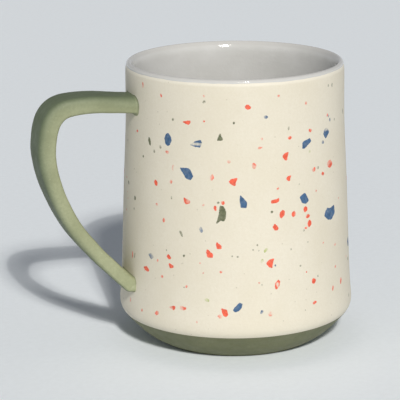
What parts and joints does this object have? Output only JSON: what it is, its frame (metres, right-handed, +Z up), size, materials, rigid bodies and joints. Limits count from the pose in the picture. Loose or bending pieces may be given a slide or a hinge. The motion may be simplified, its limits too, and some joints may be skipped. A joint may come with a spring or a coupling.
{
  "type": "mug",
  "caption": "Tapered handled mug with a rounded shoulder, inward-curved base, strap handle, glazed inside and inlaid clay chips.",
  "frame": {"origin": "centre of the flat foot, on the surface that the mug stands on", "axes": "+Z up along the cup's axis; the handle lies on -X, in the XZ plane; +Y completes the frame"},
  "size_m": [0.1198, 0.0868, 0.104],
  "materials": {
    "cream_stoneware": "matte, bare cream stoneware, sanded smooth",
    "sage_stoneware": "matte, sage green coloured stoneware",
    "grey_glaze": "glossy light grey glaze",
    "slip": "matte joining slip",
    "blue_clay": "matte, blue coloured clay",
    "coral_clay": "matte, coral coloured clay",
    "olive_clay": "matte, olive coloured clay"
  },
  "bodies": {
    "root": {"base": "sage_stoneware", "chip_blue_01": "blue_clay", "chip_blue_02": "blue_clay", "chip_blue_03": "blue_clay", "chip_blue_04": "blue_clay", "chip_blue_05": "blue_clay", "chip_blue_06": "blue_clay", "chip_blue_07": "blue_clay", "chip_blue_08": "blue_clay", "chip_blue_09": "blue_clay", "chip_blue_10": "blue_clay", "chip_blue_11": "blue_clay", "chip_blue_12": "blue_clay", "chip_blue_13": "blue_clay", "chip_coral_01": "coral_clay", "chip_coral_02": "coral_clay", "chip_coral_03": "coral_clay", "chip_coral_04": "coral_clay", "chip_coral_05": "coral_clay", "chip_coral_06": "coral_clay", "chip_coral_07": "coral_clay", "chip_coral_08": "coral_clay", "chip_coral_09": "coral_clay", "chip_coral_10": "coral_clay", "chip_coral_11": "coral_clay", "chip_coral_12": "coral_clay", "chip_coral_13": "coral_clay", "chip_coral_14": "coral_clay", "chip_coral_15": "coral_clay", "chip_coral_16": "coral_clay", "chip_coral_17": "coral_clay", "chip_coral_18": "coral_clay", "chip_coral_19": "coral_clay", "chip_coral_20": "coral_clay", "chip_coral_21": "coral_clay", "chip_coral_22": "coral_clay", "chip_coral_23": "coral_clay", "chip_coral_24": "coral_clay", "chip_coral_25": "coral_clay", "chip_coral_26": "coral_clay", "chip_coral_27": "coral_clay", "chip_coral_28": "coral_clay", "chip_coral_29": "coral_clay", "chip_coral_30": "coral_clay", "chip_coral_31": "coral_clay", "chip_coral_32": "coral_clay", "chip_coral_33": "coral_clay", "chip_olive_01": "olive_clay", "chip_olive_02": "olive_clay", "chip_olive_03": "olive_clay", "chip_olive_04": "olive_clay", "chip_olive_05": "olive_clay", "handle": "sage_stoneware", "interior_glaze": "grey_glaze", "lower_slip_joint": "slip", "mug_wall": "cream_stoneware", "upper_slip_joint": "slip"}
  },
  "joints": []
}
